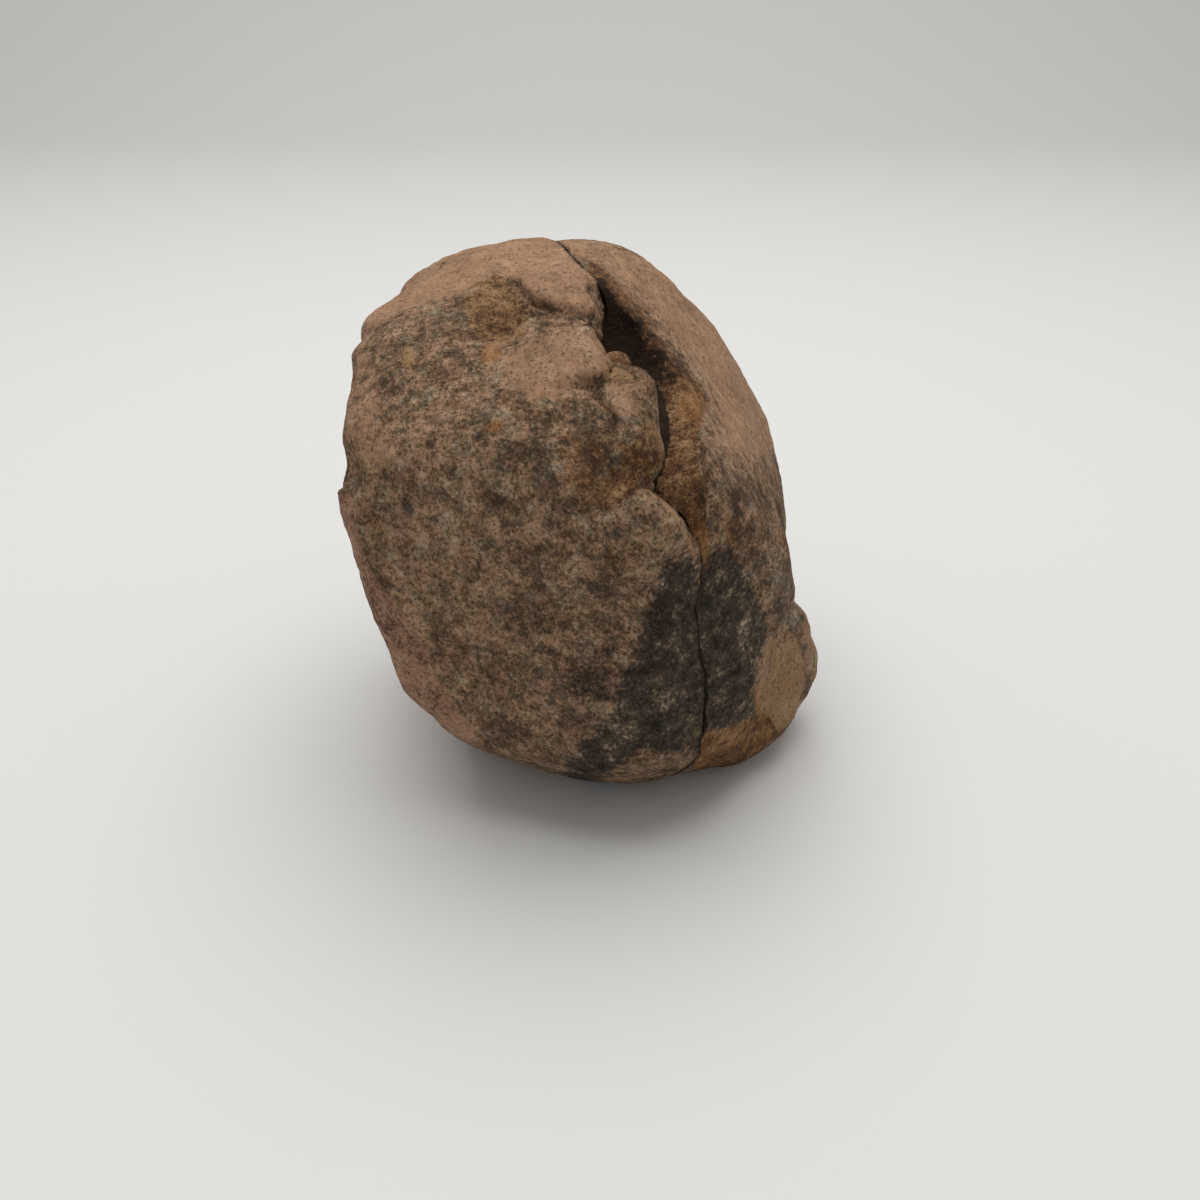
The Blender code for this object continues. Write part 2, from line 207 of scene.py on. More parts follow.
# Mounds: name, outline in pixels, width of the rounded edge and height in millimetres
MOUNDS = {
    "positive": (
        ("nose", ((599, 388), (612, 382), (630, 374), (700, 374), (700, 470), (672, 484), (646, 478),
                  (630, 466), (619, 446), (613, 424), (606, 404)), 2.4, 0.30),
        ("flake", ((622, 452), (631, 454), (633, 464), (625, 468), (620, 461)), 0.4, 0.30),
        ("flank ridge", ((404, 346), (414, 347), (416, 362), (408, 372), (400, 366)), 0.8, 0.35),
    ),
    "counterpart": (
        ("chip scar", ((768, 634), (783, 643), (798, 638), (802, 655), (806, 680), (798, 714), (779, 733),
                       (770, 718), (762, 710), (756, 697), (762, 670), (764, 649)), 3.0, -0.25),
    ),
}

# Painted places: finish or painted shade, outline in pixels, softness in millimetres and strength
PATCHES = {
    # Entries that only darken the grain are painted shade: in hollows and grooves, on the nose's right side,
    # under the brow and low on the front.
    "positive": (
        ("smooth", ((361, 323), (385, 270), (440, 240), (520, 225), (610, 225), (606, 300), (596, 317),
                    (554, 309), (533, 304), (523, 292), (512, 279), (495, 273), (476, 287), (450, 300),
                    (399, 313), (371, 333)), 1.4, 0.85),
        ("smooth", ((537, 330), (560, 326), (588, 325), (620, 336), (620, 360), (598, 379), (585, 386),
                    (560, 400), (530, 404), (505, 385), (497, 355), (515, 345)), 1.0, 0.65),
        ("smooth", ((330, 325), (371, 333), (373, 361), (385, 385), (391, 402), (393, 428), (398, 470),
                    (330, 480)), 0.8, 0.5),
        # Lighter smooth skin on the nose's top: partly its own colour, partly painted light on the bulb's
        # top.
        ("smooth", ((603, 384), (620, 380), (640, 384), (650, 396), (644, 410), (630, 420), (618, 416),
                    (608, 404)), 0.8, 0.65),
        ("painted_shade", ((648, 380), (680, 384), (672, 470), (640, 476), (620, 450), (630, 426), (650, 412)),
         1.4, 1.0),
        ("rust", ((604, 350), (622, 344), (642, 352), (646, 368), (626, 368), (610, 362)), 0.4, 0.9),
        ("smooth", ((395, 600), (425, 600), (440, 650), (462, 700), (485, 742), (462, 742), (436, 690),
                    (420, 640)), 1.2, 0.5),
        ("charcoal", ((613, 397), (621, 397), (624, 407), (616, 410)), 0.5, 0.6),
        ("rust", ((616, 440), (650, 446), (654, 470), (646, 490), (622, 470)), 0.7, 0.7),
        ("rose", ((330, 495), (352, 495), (360, 540), (372, 571), (389, 596), (414, 626), (425, 651),
                  (431, 670), (448, 691), (465, 722), (477, 745), (430, 760), (360, 680), (320, 580)),
         0.6, 0.95),
        ("rose", ((358, 495), (372, 498), (374, 516), (362, 522)), 0.8, 0.6),
        ("rose", ((400, 535), (416, 540), (418, 566), (404, 560)), 0.8, 0.5),
        ("rose", ((462, 540), (474, 545), (480, 575), (466, 572)), 1.0, 0.4),
        ("rose", ((488, 655), (506, 662), (510, 684), (492, 686)), 0.9, 0.5),
        ("rose", ((545, 258), (575, 256), (592, 280), (580, 304), (556, 298), (540, 280)), 1.6, 0.45),
        ("painted_shade", ((362, 560), (378, 566), (392, 600), (400, 640), (384, 640), (368, 600)), 0.8, 0.7),
        ("ochre", ((470, 288), (488, 276), (512, 280), (524, 300), (530, 320), (522, 340), (500, 350),
                   (480, 342), (466, 320), (462, 304)), 1.0, 0.85),
        ("orange", ((481, 348), (492, 344), (502, 353), (494, 363), (482, 362)), 0.25, 1.0),
        ("orange", ((486, 424), (496, 418), (505, 425), (497, 433), (487, 432)), 0.25, 1.0),
        ("rust", ((612, 465), (632, 470), (646, 486), (634, 494), (620, 502), (604, 508), (590, 505),
                  (598, 480)), 0.7, 0.9),
        ("rust", ((560, 425), (600, 422), (612, 436), (612, 500), (586, 512), (560, 490), (552, 455)),
         1.4, 0.55),
        ("painted_shade", ((490, 276), (502, 272), (516, 276), (518, 286), (500, 290), (488, 288)), 0.4, 1.0),
        ("painted_shade", ((482, 341), (500, 338), (518, 333), (518, 345), (500, 350), (484, 348)), 0.5, 0.8),
        ("painted_shade", ((530, 424), (600, 420), (612, 430), (612, 505), (580, 524), (545, 505), (520, 460)),
         1.8, 1.0),
        ("painted_shade", ((586, 381), (598, 384), (606, 404), (616, 418), (612, 426), (600, 412), (588, 396)),
         0.4, 1.0),
        ("painted_shade", ((640, 440), (668, 430), (668, 496), (650, 490), (640, 470), (624, 462), (624, 446)),
         1.2, 0.7),
        # Painted shade, darker towards the bottom of the front.
        ("painted_shade", ((430, 620), (520, 600), (640, 590), (680, 560), (690, 640), (690, 790), (540, 790),
                  (450, 700)), 4.0, 0.4),
        ("charcoal", ((667, 556), (697, 560), (715, 596), (715, 740), (665, 757), (640, 750), (590, 790),
                      (560, 790), (575, 745), (600, 728), (618, 708), (613, 691), (636, 650), (648, 610),
                      (658, 575)), 2.6, 1.0),
        ("charcoal", ((560, 660), (600, 640), (640, 640), (640, 700), (600, 720), (566, 700)), 2.0, 0.45),
        ("charcoal", ((530, 640), (548, 644), (548, 684), (532, 690)), 1.4, 0.6),
        ("grey", ((399, 300), (430, 292), (470, 300), (482, 320), (455, 325), (420, 318)), 1.0, 0.55),
        ("grey", ((535, 345), (560, 338), (575, 350), (555, 368), (535, 362)), 1.0, 0.4),
        ("grey", ((392, 430), (410, 420), (420, 450), (430, 500), (415, 505), (398, 470)), 1.2, 0.5),
        # Painted shade at the bottom of the opening behind the lumps.
        ("soot", ((599, 290), (606, 285), (640, 300), (670, 340), (664, 368), (640, 352), (608, 350),
                  (604, 330), (598, 318)), 0.5, 1.0),
        ("painted_shade", ((604, 352), (622, 346), (640, 354), (644, 372), (626, 372), (610, 362)), 0.4, 1.0),
        ("ochre", ((652, 388), (684, 384), (684, 470), (650, 480), (624, 456), (632, 430), (652, 414)),
         1.2, 0.75),
        ("rose", ((392, 430), (440, 430), (452, 520), (440, 600), (404, 600), (386, 520)), 2.0, 0.42),
        ("pale", ((402, 345), (414, 345), (417, 358), (410, 371), (400, 366)), 0.4, 0.7),
        ("pale", ((603, 361), (612, 364), (628, 372), (638, 378), (622, 380), (606, 382), (601, 374)),
         0.3, 0.75),
        # A thin pale line on the front ledge and the crack's left lip: partly the rim's own light colour,
        # partly a painted highlight on the top-lit edge.
        ("pale", ((634, 490), (648, 486), (662, 498), (675, 511), (684, 529), (694, 548), (703, 592),
                  (700, 592), (691, 549), (681, 530), (672, 513), (659, 501), (648, 490), (636, 494)),
         0.15, 1.0),
        ("pale", ((720, 657), (728, 660), (727, 670), (719, 668)), 0.5, 0.5),
    ),
    # Entries that only darken the grain are painted shade: on the opening's wall, on the right side below
    # the skin and under the foot.
    "counterpart": (
        ("smooth", ((550, 225), (664, 255), (720, 310), (770, 370), (790, 450), (745, 465), (712, 440),
                    (710, 400), (690, 366), (658, 328), (630, 297), (600, 272), (550, 250)), 2.6, 0.8),
        ("rust", ((655, 375), (690, 375), (706, 388), (707, 404), (703, 421), (698, 438), (698, 460),
                  (701, 478), (701, 509), (706, 530), (714, 570), (690, 570), (664, 520), (640, 470),
                  (640, 400)), 0.6, 0.8),
        ("orange", ((676, 392), (692, 384), (704, 396), (703, 420), (690, 432), (676, 420)), 1.0, 0.7),
        ("orange", ((698, 520), (706, 526), (709, 545), (706, 568), (701, 556), (698, 540)), 0.4, 0.9),
        # Painted shade on the wall of the opening.
        ("soot", ((596, 278), (603, 279), (616, 295), (632, 320), (646, 341), (658, 362), (666, 384),
                  (652, 396), (600, 350), (590, 300)), 1.0, 0.9),
        ("soot", ((602, 276), (616, 284), (640, 310), (666, 344), (686, 370), (690, 382), (670, 388),
                  (640, 350), (612, 300)), 1.0, 0.5),
        ("rust", ((588, 258), (600, 266), (618, 284), (640, 308), (664, 342), (686, 370), (705, 392),
                  (690, 400), (650, 400), (600, 350), (590, 280)), 0.5, 0.95),
        ("painted_shade", ((588, 258), (600, 266), (618, 284), (640, 308), (664, 342), (684, 368), (692, 384),
                  (668, 396), (650, 400), (600, 350), (590, 280)), 1.2, 1.0),
        ("soot", ((597, 288), (612, 300), (634, 330), (652, 352), (660, 372), (650, 384), (630, 372),
                  (600, 350)), 1.8, 1.0),
        ("charcoal", ((716, 548), (733, 550), (749, 575), (762, 607), (768, 628), (763, 649), (758, 670),
                      (753, 693), (760, 712), (728, 728), (680, 735), (680, 600), (700, 575)), 1.3, 1.0),
        ("pale", ((770, 636), (783, 643), (798, 638), (802, 655), (806, 680), (798, 714), (779, 733),
                  (770, 718), (762, 710), (756, 697), (762, 670), (764, 649)), 0.3, 1.0),
        ("rust", ((690, 736), (728, 728), (760, 712), (772, 718), (779, 733), (800, 718), (815, 740),
                  (760, 790), (690, 790)), 0.4, 0.95),
        ("orange", ((690, 736), (728, 728), (762, 714), (778, 730), (796, 724), (800, 760), (690, 790)),
         0.6, 0.45),
        ("painted_shade", ((690, 752), (728, 748), (765, 738), (800, 716), (820, 740), (760, 790), (690, 790)),
         1.0, 1.0),
        ("orange", ((754, 682), (762, 684), (764, 700), (761, 716), (754, 712)), 0.4, 0.8),
        ("painted_shade", ((704, 450), (770, 470), (785, 520), (780, 560), (740, 575), (716, 545), (704, 500)),
         2.0, 0.7),
        ("rust", ((706, 500), (740, 490), (770, 500), (776, 540), (750, 570), (724, 560), (708, 530)),
         2.0, 0.45),
        ("painted_shade", ((690, 480), (706, 486), (712, 560), (700, 570), (690, 540)), 0.8, 0.35),
        ("grey", ((768, 570), (790, 556), (800, 600), (830, 620), (830, 660), (808, 690), (800, 660),
                  (786, 628), (770, 612)), 1.0, 0.8),
        ("smooth", ((798, 604), (812, 612), (832, 630), (832, 662), (812, 690), (804, 668), (802, 640)),
         0.8, 0.7),
        ("grey", ((730, 380), (765, 400), (775, 430), (750, 440), (732, 415)), 1.6, 0.6),
        ("grey", ((610, 250), (640, 262), (640, 276), (612, 266)), 0.8, 0.5),
    ),
}

# Painted places out of the camera's sight: finish, place and radius in millimetres, and strength
BLOTCHES = {
    "positive": (
        ("smooth", (-22.0, 14.0, 44.0), 16.0, 0.8),
        ("smooth", (-6.0, 22.0, 55.0), 14.0, 0.7),
        ("smooth", (-17.0, 12.0, 56.0), 10.0, 0.9),
        ("charcoal", (-14.0, 28.0, 16.0), 13.0, 0.9),
        ("charcoal", (6.0, -18.0, 0.0), 10.0, 0.9),
        ("ochre", (-24.0, 20.0, 26.0), 7.0, 0.7),
        ("rust", (-4.0, 30.0, 34.0), 6.0, 0.7),
    ),
    "counterpart": (
        ("smooth", (16.0, 14.0, 50.0), 13.0, 0.7),
        ("charcoal", (14.0, 24.0, 14.0), 12.0, 0.9),
        ("orange", (18.0, -6.0, 1.0), 9.0, 0.8),
        ("grey", (24.0, 8.0, 24.0), 9.0, 0.6),
        ("rust", (1.0, 30.0, 36.0), 5.0, 0.8),
        ("pale", (20.0, 22.0, 8.0), 5.0, 0.8),
        ("rust", (7.0, -17.5, 48.5), 9.0, 1.0),
        # Painted shadow in the dark gap beside the nose's edge.
        ("soot", (7.5, -15.0, 50.0), 8.0, 1.0),
        ("soot", (6.5, -20.5, 46.5), 8.0, 1.0),
    ),
}

# Edges of those places: how far waves break them up, the waves' size and seed, and where the paint thins out
BLOTCH_RAG = 0.45
BLOTCH_WAVE = 5.0 * MM
BLOTCH_SEED = 3.7
BLOTCH_FADE = (0.6, 1.0)

# Masks: the finishes and painted shade, the painted shade for a millimetre of groove, and how near the other
# half the crack's painted shade reaches
FINISHES = ("smooth", "rose", "grey", "painted_shade", "charcoal", "ochre", "rust", "orange", "pale", "soot")
GROOVE_SHADE = 2.5
CRACK_REACH = (0.27 * MM, 0.40 * MM)

# Noise of the grain and of its relief: size, seed, detail and roughness
EVEN_GRAIN = (1.9 * MM, 1.0, 5.0, 1.0)
DRAWN_GRAIN = (1.3 * MM, 2.0, 4.5, 1.0)
BROAD_GRAIN = (4.5 * MM, 14.0, 2.0, 0.6)
FINE_RELIEF = (0.22 * MM, 10.0, 3.0, 0.8)
LUMP_RELIEF = (1.1 * MM, 11.0, 5.0, 0.75)

# Clouds of another colour: noise as above, then where in the noise they begin and are full, and strength
CLOUDS = {
    "grey": ((1.9 * MM, 6.0, 6.0, 0.75), (0.51, 0.56, 0.80)),
    "rose": ((1.7 * MM, 12.0, 5.0, 0.75), (0.53, 0.58, 0.65)),
    "rust": ((3.0 * MM, 13.0, 5.0, 0.75), (0.55, 0.61, 0.45)),
    "freckles": ((1.2 * MM, 21.0, 4.0, 0.8), (0.55, 0.66, 0.45)),
}

# Contrast of the grain, the shares of its even and drawn-out parts, and the lean of what is drawn out
TONE_GAIN = 2.8
EVEN_SHARE = 0.85
DRAWN_SHARE = 0.42
BROAD_GAIN = 0.6
DRAWN_LEAN = math.radians(-20.0)

# Painted finishes: how far the smooth skin is evened, how much the painted shade and the charcoal darken the
# grain, and strength of each
SKIN_CALM = 0.4
DARK_FINISHES = {"painted_shade": 0.13, "charcoal": 0.02}
FINISH_STRENGTH = {"charcoal": 0.95, "smooth": 0.8, "rose": 0.85, "ochre": 0.85, "rust": 0.85,
                   "orange": 0.85, "pale": 0.85, "soot": 0.9}

# Ragged edges of painted masks: size, detail, roughness and strength of their noise, and the values kept
RAG_SIZE = 1.4 * MM
RAG_DETAIL = 6.0
RAG_ROUGHNESS = 0.8
RAG_STRENGTH = 2.2
RAG_BAND = (0.36, 0.64)

# Specks: size of their cells, reach from a cell's middle and share of the cells, then strength of colour
PITS = (0.42 * MM, 0.42, 0.48)
DARK_SPECKS = (0.80 * MM, 0.34, 0.34)
PIT_STRENGTH = 0.60
DARK_STRENGTH = 0.50

# Outline of a speck: waves to a cell that bend it, where its soft edge begins, and the pick's softness
SPECK_WAVES = 2.5
SPECK_EDGE = 0.7
SPECK_PICK = 0.04

# Relief of the shader, in millimetres: height of the fine grain, the lumps and the tone, and pit depth
FINE_HEIGHT = 0.10
LUMP_HEIGHT = 0.45
TONE_HEIGHT = 0.20
PIT_DEPTH = 0.06

# Sheen of the stone: how far the smooth skin's relief is calmed, and roughness and gloss of the grain
SMOOTH_CALM = 0.6
GRAIN_BAND = (0.2, 0.8)
ROUGHNESS = (0.72, 0.96)
GLOSS = 0.1

# Studio, in metres: the paper sweep that bends up behind the stone, and the lamp
FLOOR_HALF = 0.9
FLOOR_FRONT = -0.9
SWEEP_START = 0.44
SWEEP_RISE = 0.7
SWEEP_BEND = 0.22
SWEEP_STEPS = 24
PAPER_ROUGHNESS = 0.9
LAMP_PLACE = (-0.01, 0.08, 0.50)
LAMP_AIM = (0.0, 0.0, 0.03)
SKY_COLOUR = (0.98, 0.98, 1.0, 1.0)


class NoduleShape(bpy.types.PropertyGroup):
    """Sizes of the stone's worked surface."""

    positive_cell: bpy.props.FloatProperty(
        name="Larger half's cell", description="Size of the larger half's mesh cells",
        default=0.33 * MM, min=0.2 * MM, unit="LENGTH", precision=5)
    counterpart_cell: bpy.props.FloatProperty(
        name="Counterpart's cell", description="Size of the counterpart's mesh cells",
        default=0.30 * MM, min=0.2 * MM, unit="LENGTH", precision=5)
    kept_cells: bpy.props.FloatProperty(
        name="Kept cells",
        description="Share of a half's cells that is kept when its hidden faces are thinned",
        default=0.7, min=0.1, max=1.0, subtype="FACTOR")
    evening: bpy.props.IntProperty(
        name="Evening", description="How often the facets are smoothed before the stone is worked",
        default=10, min=0)
    melting: bpy.props.IntProperty(
        name="Melting", description="How often the creases round the lumps are smoothed",
        default=110, min=0)
    positive_stretch: bpy.props.FloatProperty(
        name="Larger half's streaks", description="How far the larger half's grain is drawn out",
        default=1.5, min=1.0)
    counterpart_stretch: bpy.props.FloatProperty(
        name="Counterpart's streaks", description="How far the counterpart's grain is drawn out",
        default=1.05, min=1.0)
    slow_size: bpy.props.FloatProperty(
        name="Slow waves", description="Length of the slow waves of the skin",
        default=6.0 * MM, unit="LENGTH", precision=5)
    slow_rise: bpy.props.FloatProperty(
        name="Slow rise", description="Height of the slow waves",
        default=0.55 * MM, unit="LENGTH", precision=5)
    knob_size: bpy.props.FloatProperty(
        name="Knobs", description="Size of the small knobs of the skin",
        default=2.2 * MM, unit="LENGTH", precision=5)
    knob_rise: bpy.props.FloatProperty(
        name="Knob rise", description="Height of the small knobs",
        default=0.28 * MM, unit="LENGTH", precision=5)
    grain_size: bpy.props.FloatProperty(
        name="Grain", description="Size of the coarse grain",
        default=0.8 * MM, unit="LENGTH", precision=5)
    grain_rise: bpy.props.FloatProperty(
        name="Grain rise", description="Height of the coarse grain",
        default=0.12 * MM, unit="LENGTH", precision=5)


class NodulePaint(bpy.types.PropertyGroup):
    """Colours of the stone's finishes, and of its painted shade."""

    tan: bpy.props.FloatVectorProperty(
        name="Tan", description="Main colour of the mottled stone", subtype="COLOR",
        default=(0.240, 0.148, 0.086))
    pink: bpy.props.FloatVectorProperty(
        name="Pinkish tan", description="Warm grains of the mottled stone", subtype="COLOR",
        default=(0.400, 0.238, 0.138))
    brown: bpy.props.FloatVectorProperty(
        name="Brown", description="Dark grains of the mottled stone", subtype="COLOR",
        default=(0.124, 0.076, 0.043))
    shade: bpy.props.FloatVectorProperty(
        name="Grey shade", description="Dark grains of the grey parts", subtype="COLOR",
        default=(0.105, 0.080, 0.054))
    lichen: bpy.props.FloatVectorProperty(
        name="Grey", description="Greenish grey grains and patches", subtype="COLOR",
        default=(0.178, 0.134, 0.086))
    ash: bpy.props.FloatVectorProperty(
        name="Pale grey", description="Light grains of the grey parts", subtype="COLOR",
        default=(0.300, 0.238, 0.165))
    speck: bpy.props.FloatVectorProperty(
        name="Speck", description="Nearly black specks and pits", subtype="COLOR",
        default=(0.062, 0.041, 0.026))
    fleck: bpy.props.FloatVectorProperty(
        name="Fleck", description="Pale flecks", subtype="COLOR",
        default=(0.500, 0.385, 0.275))
    skin: bpy.props.FloatVectorProperty(
        name="Smooth skin", description="Weather-smoothed skin", subtype="COLOR",
        default=(0.355, 0.208, 0.120))
    skin_shade: bpy.props.FloatVectorProperty(
        name="Smooth skin's shade", description="Dark grains of the smooth skin", subtype="COLOR",
        default=(0.255, 0.142, 0.083))
    skin_light: bpy.props.FloatVectorProperty(
        name="Smooth skin's light", description="Light grains of the smooth skin", subtype="COLOR",
        default=(0.460, 0.285, 0.180))
    rose: bpy.props.FloatVectorProperty(
        name="Rose", description="Reddish skin", subtype="COLOR",
        default=(0.375, 0.206, 0.134))
    rose_shade: bpy.props.FloatVectorProperty(
        name="Rose shade", description="Dark grains of the reddish skin", subtype="COLOR",
        default=(0.215, 0.115, 0.078))
    earth: bpy.props.FloatVectorProperty(
        name="Earth", description="Dark grains of the hollow", subtype="COLOR",
        default=(0.175, 0.090, 0.040))
    ochre: bpy.props.FloatVectorProperty(
        name="Ochre", description="Yellow-brown earth in the hollow", subtype="COLOR",
        default=(0.340, 0.195, 0.088))
    rust: bpy.props.FloatVectorProperty(
        name="Rust", description="Iron staining of the broken rim", subtype="COLOR",
        default=(0.182, 0.088, 0.036))
    rust_shade: bpy.props.FloatVectorProperty(
        name="Rust's shade", description="Dark grains of the iron staining", subtype="COLOR",
        default=(0.072, 0.034, 0.018))
    orange: bpy.props.FloatVectorProperty(
        name="Orange", description="Bright iron staining", subtype="COLOR",
        default=(0.320, 0.150, 0.052))
    # Painted shade of the crack, on its faces and close to its lips.
    crack_painted_shade: bpy.props.FloatVectorProperty(
        name="Crevice", description="Faces inside the crack", subtype="COLOR",
        default=(0.036, 0.020, 0.013))
    charcoal: bpy.props.FloatVectorProperty(
        name="Charcoal", description="Dark patina low on the stone", subtype="COLOR",
        default=(0.060, 0.047, 0.037))
    # The darkest grains, and also painted shade in the opening and in the gap by the nose.
    soot: bpy.props.FloatVectorProperty(
        name="Soot", description="Darkest grains and the bottom of the opening", subtype="COLOR",
        default=(0.016, 0.011, 0.008))
    pale: bpy.props.FloatVectorProperty(
        name="Fresh chip", description="Stone under a fresh chip", subtype="COLOR",
        default=(0.365, 0.222, 0.112))


class NoduleStudio(bpy.types.PropertyGroup):
    """Light and floor of the studio."""

    lamp_power: bpy.props.FloatProperty(
        name="Lamp", description="Power of the soft lamp overhead",
        default=2.25, unit="POWER")
    lamp_size: bpy.props.FloatProperty(
        name="Lamp size", description="Width of the soft lamp",
        default=0.60, unit="LENGTH")
    sky: bpy.props.FloatProperty(
        name="Room light", description="Strength of the light from the room",
        default=0.46, min=0.0)
    floor: bpy.props.FloatVectorProperty(
        name="Floor", description="Colour of the floor and the sweep behind it", subtype="COLOR",
        default=(0.72, 0.715, 0.69))


def smoothstep(value, low, high):
    """Rises smoothly from 0 to 1 as the value goes from low to high."""
    share = np.clip((value - low) / (high - low), 0.0, 1.0)
    return share * share * (3.0 - 2.0 * share)


def bump(distance, radius):
    """A soft round bump of height 1, which is flat at its centre and at its radius."""
    share = np.clip(distance / radius, 0.0, 1.0)
    return (1.0 - share**2) ** 2


def rounded(share):
    """Rises from 0 to 1 like the rounded edge of a cushion."""
    return np.sqrt(1.0 - (1.0 - np.clip(share, 0.0, 1.0)) ** 2)


def choose(obj):
    """Makes this the only selected object."""
    bpy.ops.object.select_all(action="DESELECT")
    bpy.context.view_layer.objects.active = obj
    obj.select_set(True)


def apply(obj, name, kind, **settings):
    """Adds a modifier and applies it."""
    choose(obj)
    modifier = obj.modifiers.new(name, kind)
    for key, value in settings.items():
        setattr(modifier, key, value)
    bpy.ops.object.modifier_apply(modifier=modifier.name)


def vectors_of(obj, kind):
    """The points or the normals of a mesh, one to a row."""
    vectors = np.empty(len(obj.data.vertices) * 3, dtype=np.float32)
    obj.data.vertices.foreach_get(kind, vectors)
    return vectors.reshape(-1, 3).astype(float)


def points_of(obj):
    return vectors_of(obj, "co")


def set_points(obj, points):
    obj.data.vertices.foreach_set("co", np.asarray(points, dtype=np.float32).ravel())
    obj.data.update()


def camera_axes():
    """The camera's right, up and ahead."""
    right = np.array((1.0, 0.0, 0.0))
    up = np.array((0.0, math.cos(CAMERA_PITCH), math.sin(CAMERA_PITCH)))
    ahead = np.array((0.0, math.sin(CAMERA_PITCH), -math.cos(CAMERA_PITCH)))
    return right, up, ahead


def photo_places(points):
    """Where points fall in the camera's view, in pixels, and the pixels that a metre takes there."""
    right, up, ahead = camera_axes()
    away = points - CAMERA_PLACE
    scale = FOCAL_PIXELS / (away @ ahead)
    across = IMAGE_SIZE / 2 + (away @ right) * scale
    down = IMAGE_SIZE / 2 - (away @ up) * scale
    return np.stack([across, down], axis=1), scale


def solid_trees():
    """A search tree of each CAD half, for what is hidden behind it and how near it is."""
    trees = {}
    for name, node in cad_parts.items():
        faces = [tuple(face.vertices) for face in node.data.polygons]
        trees[name] = BVHTree.FromPolygons([tuple(point.co) for point in node.data.vertices], faces)
    return trees


def first_hit(camera, way, trees):
    """Distance from the camera to the first stone on this way, or the way's length where there is none."""
    hits = [tree.ray_cast(camera, way.normalized(), way.length)[3] for tree in trees.values()]
    return min((hit for hit in hits if hit is not None), default=way.length)


def seen_share(points, trees):
    """1 where nothing stands before a point, fading to 0 where the stone hides it from the camera."""
    camera = Vector(CAMERA_PLACE)
    first = np.array([first_hit(camera, Vector(point) - camera, trees) for point in points])
    behind = np.linalg.norm(points - CAMERA_PLACE, axis=1) - first
    return 1.0 - smoothstep(behind, *HIDDEN_FADE)


def along_line(places, line):
    """Where places are beside a line of points, in pixels.

    Gives the distance from each place to the line, the same with a sign that is positive on the line's
    right, and how far along the line the place is from the nearer end.
    """
    nearest = np.full(len(places), np.inf)
    side = np.zeros(len(places))
    along = np.zeros(len(places))
    passed = 0.0
    for start, end in zip(line[:-1], line[1:]):
        start, way = np.array(start, dtype=float), np.subtract(end, start).astype(float)
        length = np.hypot(*way)
        share = np.clip((places - start) @ way / length**2, 0.0, 1.0)
        offset = places - start - share[:, None] * way
        distance = np.hypot(offset[:, 0], offset[:, 1])
        turn = way[0] * (places[:, 1] - start[1]) - way[1] * (places[:, 0] - start[0])
        closer = distance < nearest
        nearest = np.where(closer, distance, nearest)
        side = np.where(closer, np.sign(turn) * distance, side)
        along = np.where(closer, passed + share * length, along)
        passed += length
    return nearest, side, np.minimum(along, passed - along)


def depth_inside(places, outline):
    """Distance in pixels inside a closed outline, and negative outside it."""
    distance = along_line(places, (*outline, outline[0]))[0]
    inside = np.zeros(len(places), dtype=bool)
    for start, end in zip(outline, (*outline[1:], outline[0])):
        crosses = (start[1] > places[:, 1]) != (end[1] > places[:, 1])
        rise = end[1] - start[1]
        if rise:
            at = start[0] + (places[:, 1] - start[1]) * (end[0] - start[0]) / rise
            inside ^= crosses & (places[:, 0] < at)
    return np.where(inside, distance, -distance)


def distances_to(points, tree):
    """How far each point is from a CAD half."""
    return np.array([tree.find_nearest(Vector(point))[3] for point in points])


def waves(points, size, seed):
    """Even noise from about -1 to 1, with waves of this size."""
    shift = Vector((seed, -seed, seed / 2))
    return np.array([noise.noise(Vector(point) / size + shift) for point in points])


def thin_hidden_faces(stone, other_tree, kept):
    """Thins the cells in the closed crack, where neither half can be seen."""
    hidden = distances_to(points_of(stone), other_tree) < CLOSED_CRACK
    group = stone.vertex_groups.new(name="hidden")
    group.add([int(index) for index in np.flatnonzero(hidden)], 1.0, "REPLACE")
    apply(stone, "Fewer hidden cells", "DECIMATE", ratio=kept, vertex_group=group.name,
          vertex_group_factor=1.0)


def fine_copy(node, name, cell, evening, other_tree, kept):
    """A finely meshed copy of one CAD half, with its facets evened out."""
    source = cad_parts[node]
    stone = bpy.data.objects.new(name, source.data.copy())
    bpy.context.scene.collection.objects.link(stone)
    choose(stone)
    bpy.ops.object.mode_set(mode="EDIT")
    bpy.ops.mesh.select_all(action="SELECT")
    bpy.ops.mesh.remove_doubles(threshold=MERGE_REACH)
    bpy.ops.object.mode_set(mode="OBJECT")
    apply(stone, "Fine cells", "REMESH", mode="VOXEL", voxel_size=cell)
    apply(stone, "Even", "SMOOTH", factor=SMOOTHING, iterations=evening)
    thin_hidden_faces(stone, other_tree, kept)
    return stone


def melt(stone, melts, melting):
    """Smooths the creases away round some places."""
    points = points_of(stone)
    share = np.zeros(len(points))
    for _, place, radius in melts:
        away = np.linalg.norm(points - np.array(place) * MM, axis=1)
        share = np.maximum(share, bump(away, radius * MM))
    group = stone.vertex_groups.new(name="melt")
    for index in np.flatnonzero(share):
        group.add((int(index),), float(share[index]), "REPLACE")
    apply(stone, "Melt", "SMOOTH", factor=SMOOTHING, iterations=melting, vertex_group=group.name)


def nearest_places(points, tree):
    """The nearest place on a CAD half for each point, and how far off it is."""
    found = [tree.find_nearest(Vector(point)) for point in points]
    return np.array([tuple(hit[0]) for hit in found]), np.array([hit[3] for hit in found])


